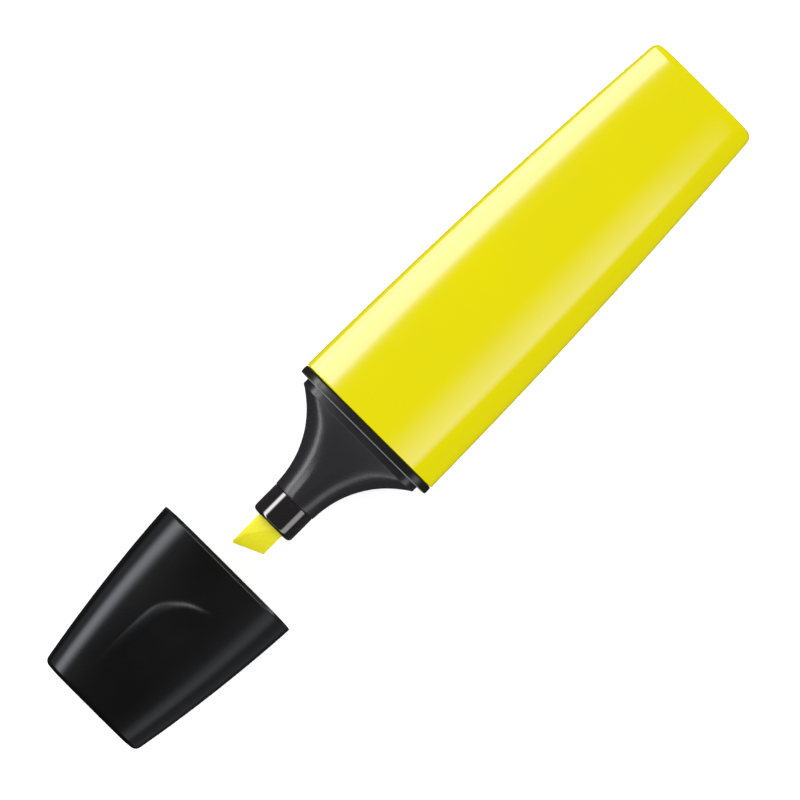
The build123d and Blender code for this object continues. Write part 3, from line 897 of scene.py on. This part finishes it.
def softbox(name, tilt, reach, size, middle, radiance, way=90, lit=(), soft=0.5, ends=0, tint=(1, 1, 1)):
    """A soft rectangular light beside the pen, aimed at its axis, that fades out across its reach.

    tilt is its direction from straight up, reach how much it covers and way its bearing from +X, in degrees.
    size and middle are its length and its centre along the pen. soft is the share of its reach that fades,
    and ends the share of its length that fades at each end. With lit pieces named, it only shows as a
    reflection in them. Otherwise it lights everything and is not reflected.
    """
    depth = 2 * LIGHT_DISTANCE * tan(radians(reach / 2))
    data = bpy.data.lights.new(name, "AREA")
    data.color = tint
    data.shape = "RECTANGLE"
    data.size = size
    data.size_y = depth
    data.energy = radiance * pi * size * depth
    light = bpy.data.objects.new(name, data)
    bpy.context.scene.collection.objects.link(light)
    bearing = radians(way)
    lean = radians(tilt)
    outwards = Vector((cos(bearing) * sin(lean), sin(bearing) * sin(lean), cos(lean)))
    light.location = Vector((middle, 0, AXIS_HEIGHT)) + LIGHT_DISTANCE * outwards
    light.rotation_euler = outwards.to_track_quat("Z", "Y").to_euler()
    data.use_nodes = True
    tree = data.node_tree
    where = node(tree, "ShaderNodeNewGeometry")
    split = node(tree, "ShaderNodeSeparateXYZ")
    across = node(tree, "ShaderNodeMath", {1: 0.5}, operation="PINGPONG")
    fade = node(tree, "ShaderNodeMapRange", {"From Max": 0.5 * soft}, interpolation_type="SMOOTHSTEP")
    tree.links.new(where.outputs["Parametric"], split.inputs["Vector"])
    tree.links.new(split.outputs["Y"], across.inputs[0])
    tree.links.new(across.outputs["Value"], fade.inputs["Value"])
    strength = fade.outputs["Result"]
    if ends:
        lengthways = node(tree, "ShaderNodeMath", {1: 0.5}, operation="PINGPONG")
        close = node(tree, "ShaderNodeMapRange", {"From Max": ends}, interpolation_type="SMOOTHSTEP")
        both = node(tree, "ShaderNodeMath", operation="MULTIPLY")
        tree.links.new(split.outputs["X"], lengthways.inputs[0])
        tree.links.new(lengthways.outputs["Value"], close.inputs["Value"])
        tree.links.new(close.outputs["Result"], both.inputs[0])
        tree.links.new(strength, both.inputs[1])
        strength = both.outputs["Value"]
    tree.links.new(strength, tree.nodes["Emission"].inputs["Strength"])
    light.visible_diffuse = not lit
    light.visible_glossy = bool(lit)
    if lit:
        receivers = bpy.data.collections.new(name)
        for piece in lit:
            receivers.objects.link(bpy.data.objects[piece])
        light.light_linking.receiver_collection = receivers


class HIGHLIGHTER_OT_stage(Operator):
    """Set the pale floor, the soft studio lights and the camera straight above the pen"""

    bl_idname = "highlighter.stage"
    bl_label = "Stage"

    def execute(self, context):
        scene = context.scene
        colours = scene.highlighter_colours
        bpy.ops.object.select_all(action="DESELECT")
        bpy.ops.mesh.primitive_plane_add(size=FLOOR_SIZE, location=(0, 0, 0))
        floor = context.object
        floor.name = "floor"
        floor.visible_glossy = False
        material = new_material("Pale floor")[0]
        shader = shader_of(material)
        shader.inputs["Base Color"].default_value = rgba(colours.floor)
        shader.inputs["Roughness"].default_value = 0.9
        shader.inputs["Specular IOR Level"].default_value = 0.0
        shader.inputs["Emission Color"].default_value = (1, 1, 1, 1)
        shader.inputs["Emission Strength"].default_value = FLOOR_GLOW
        floor.data.materials.append(material)

        barrel = ["barrel_body"]
        cap = ["cap_body"]
        front = ["front_section_body", "nib_sleeve_collar"]
        softbox("key", tilt=50, reach=60, size=1.6, middle=0.1, radiance=0.9)
        softbox("barrel left", tilt=56.5, reach=88, size=0.6, middle=0.15, radiance=9.5,
                lit=barrel, soft=0.36, tint=COOL)
        softbox("barrel left low", tilt=108, reach=34, size=0.6, middle=0.15, radiance=5.0,
                lit=barrel, soft=0.2, tint=COOL)
        softbox("barrel right", tilt=20, reach=36, size=0.6, middle=-0.142, radiance=3.8,
                way=-90, lit=barrel, soft=1, ends=0.06, tint=COOL)
        softbox("cap left", tilt=48, reach=60, size=1.2, middle=-0.3, radiance=4.2,
                lit=cap, soft=0.9, tint=PALE_BLUE)
        softbox("cap left wide", tilt=66, reach=104, size=1.2, middle=-0.3, radiance=0.35,
                lit=cap, tint=PALE_BLUE)
        softbox("cap right", tilt=41, reach=62, size=1.2, middle=-0.3, radiance=0.75,
                way=-90, lit=cap, soft=0.8, tint=PALE_BLUE)
        softbox("cap right wide", tilt=84, reach=110, size=1.2, middle=-0.3, radiance=0.25,
                way=-90, lit=cap, tint=PALE_BLUE)
        softbox("cap far end", tilt=40, reach=64, size=1.0, middle=0, radiance=7.0,
                way=10, lit=cap)
        softbox("front left", tilt=57, reach=28, size=3.4, middle=-1.3, radiance=7.0,
                lit=front, soft=0.8)
        softbox("front left high", tilt=31, reach=34, size=0.8, middle=0, radiance=5.5,
                lit=["front_section_body"], soft=1)
        softbox("front right", tilt=66, reach=34, size=3.4, middle=-1.3, radiance=2.0,
                way=-90, lit=front)
        softbox("nib sheen", tilt=14, reach=26, size=0.6, middle=-0.05, radiance=5.0,
                lit=["nib_tip"])
        softbox("front end", tilt=75, reach=50, size=1.0, middle=0, radiance=1.2,
                way=180, lit=front)

        world = bpy.data.worlds.new("Soft room")
        scene.world = world
        world.use_nodes = True
        tree = world.node_tree
        background = tree.nodes["Background"]
        background.inputs["Color"].default_value = (1, 1, 1, 1)
        path = node(tree, "ShaderNodeLightPath")
        level = node(tree, "ShaderNodeMapRange", {"To Min": ROOM_LIGHT, "To Max": ROOM_REFLECTION})
        tree.links.new(path.outputs["Is Glossy Ray"], level.inputs["Value"])
        tree.links.new(level.outputs["Result"], background.inputs["Strength"])

        camera_data = bpy.data.cameras.new("camera")
        camera = bpy.data.objects.new("camera", camera_data)
        scene.collection.objects.link(camera)
        camera_data.lens = 300
        camera_data.sensor_width = 36
        height = VIEW_WIDTH * camera_data.lens / camera_data.sensor_width
        camera.location = (*VIEW_CENTRE, AXIS_HEIGHT + height)
        camera.rotation_euler = (0, 0, radians(VIEW_TURN))
        camera_data.clip_start = 0.01
        camera_data.clip_end = 50
        scene.camera = camera
        scene.view_settings.view_transform = "Standard"
        return {"FINISHED"}


class HIGHLIGHTER_PT_panel(Panel):
    """Lists the steps that build the highlighter"""

    bl_label = "Highlighter"
    bl_idname = "HIGHLIGHTER_PT_panel"
    bl_space_type = "VIEW_3D"
    bl_region_type = "UI"
    bl_category = "Highlighter"

    def draw(self, context):
        for step in STEPS:
            self.layout.operator(step.bl_idname)


STEPS = (
    HIGHLIGHTER_OT_barrel,
    HIGHLIGHTER_OT_front_section,
    HIGHLIGHTER_OT_nib_sleeve,
    HIGHLIGHTER_OT_nib,
    HIGHLIGHTER_OT_cap,
    HIGHLIGHTER_OT_inner_pieces,
    HIGHLIGHTER_OT_stage,
)
CLASSES = (HighlighterSizes, HighlighterColours, *STEPS, HIGHLIGHTER_PT_panel)


def register():
    """Adds the sizes, the colours, the steps and the panel."""
    for cls in CLASSES:
        bpy.utils.register_class(cls)
    bpy.types.Scene.highlighter_sizes = PointerProperty(type=HighlighterSizes)
    bpy.types.Scene.highlighter_colours = PointerProperty(type=HighlighterColours)


def unregister():
    """Takes away what register added."""
    del bpy.types.Scene.highlighter_colours
    del bpy.types.Scene.highlighter_sizes
    for cls in reversed(CLASSES):
        bpy.utils.unregister_class(cls)


def main():
    """Builds the whole highlighter and its stage."""
    register()
    bpy.ops.highlighter.barrel()
    bpy.ops.highlighter.front_section()
    bpy.ops.highlighter.nib_sleeve()
    bpy.ops.highlighter.nib()
    bpy.ops.highlighter.cap()
    bpy.ops.highlighter.inner_pieces()
    bpy.ops.highlighter.stage()


if __name__ == "__main__":
    main()
